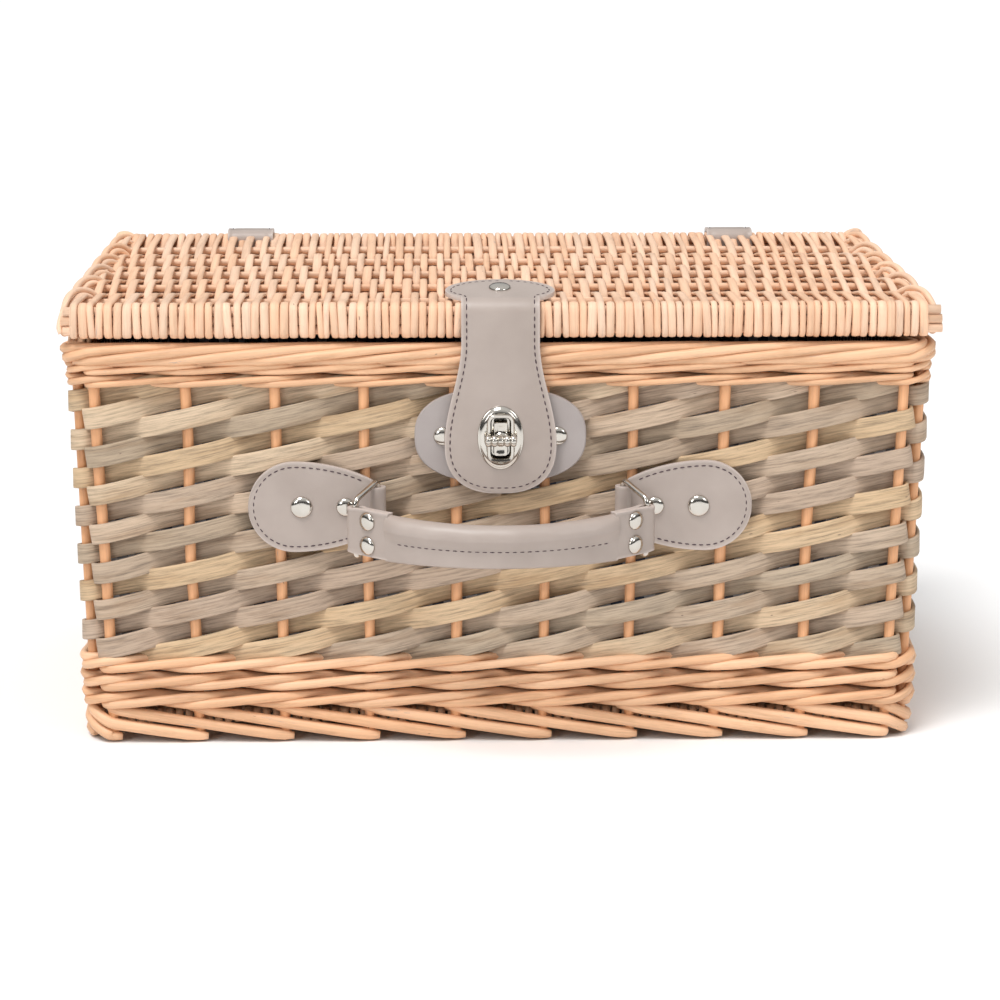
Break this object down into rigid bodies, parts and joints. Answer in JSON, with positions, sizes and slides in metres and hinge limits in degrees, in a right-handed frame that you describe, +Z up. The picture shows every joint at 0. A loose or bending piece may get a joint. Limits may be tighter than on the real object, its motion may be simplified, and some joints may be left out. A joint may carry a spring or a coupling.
{
  "type": "woven willow picnic hamper",
  "caption": "Rectangular woven willow hamper with a hinged flat lid, turn-lock closure strap and a padded front handle on rings.",
  "frame": {"origin": "middle of the foot's underside, on the surface the hamper stands on", "axes": "+Z up, +Y from the front wall to the rear wall, +X to the right seen from the front"},
  "size_m": [0.42, 0.334, 0.2212],
  "materials": {
    "willow_rod": "peeled willow rods, satin",
    "split_willow": "split willow, weathered, matte",
    "lid_willow": "fine pale willow strands, matte",
    "grey_leather": "warm grey grained leather, stitched edges",
    "nickel": "polished nickel plate",
    "lining_cloth": "woven check cotton"
  },
  "bodies": {
    "basket": {"base_sticks": "willow_rod", "base_weave": "split_willow", "foot_border": "willow_rod", "lower_waling": "willow_rod", "stakes": "willow_rod", "split_willow_weave": "split_willow", "upper_waling": "willow_rod", "rim_border": "willow_rod", "body_lining": "lining_cloth", "lock_pad": "grey_leather", "lock_pad_rivets": "nickel", "lock_base": "nickel", "key_pin": "nickel", "left_handle_pad": "grey_leather", "right_handle_pad": "grey_leather", "handle_pad_rivets": "nickel", "rivet_burrs": "nickel", "left_hinge_strap": "grey_leather", "right_hinge_strap": "grey_leather", "hinge_strap_rivets": "nickel"},
    "lid": {"lid_front_sticks": "lid_willow", "lid_rear_sticks": "lid_willow", "lid_cross_sticks": "lid_willow", "lid_end_sticks": "lid_willow", "lid_weave": "lid_willow", "lid_end_bindings": "lid_willow", "lid_lining": "lining_cloth", "closure_strap_head": "grey_leather", "strap_head_rivet": "nickel"},
    "strap": {"closure_strap": "grey_leather", "eye_plate": "nickel", "eye_back_plate": "nickel"},
    "key": {"turn_key": "nickel"},
    "handle": {"left_ring": "nickel", "right_ring": "nickel", "handle_strap": "grey_leather", "handle_grip": "grey_leather", "handle_tab_rivets": "nickel"}
  },
  "joints": [
    {"name": "lid_hinge", "type": "hinge", "parent": "basket", "child": "lid", "pos_m": [0, 0.1403, 0.19825], "axis": [-1, 0, 0], "range_deg": [0, 105], "deforming": ["left_hinge_strap", "right_hinge_strap"]},
    {"name": "strap_swing", "type": "hinge", "parent": "lid", "child": "strap", "pos_m": [0, -0.14256, 0.212], "axis": [-1, 0, 0], "range_deg": [0, 150], "deforming": ["closure_strap_head"]},
    {"name": "key_turn", "type": "hinge", "parent": "basket", "child": "key", "pos_m": [0, -0.13673, 0.153], "axis": [0, -0.9996, -0.0279], "range_deg": [0, 90]},
    {"name": "handle_lift", "type": "hinge", "parent": "basket", "child": "handle", "pos_m": [0, -0.14131, 0.11835], "axis": [-1, 0, 0], "range_deg": [0, 14], "deforming": ["left_handle_pad", "right_handle_pad"]}
  ]
}
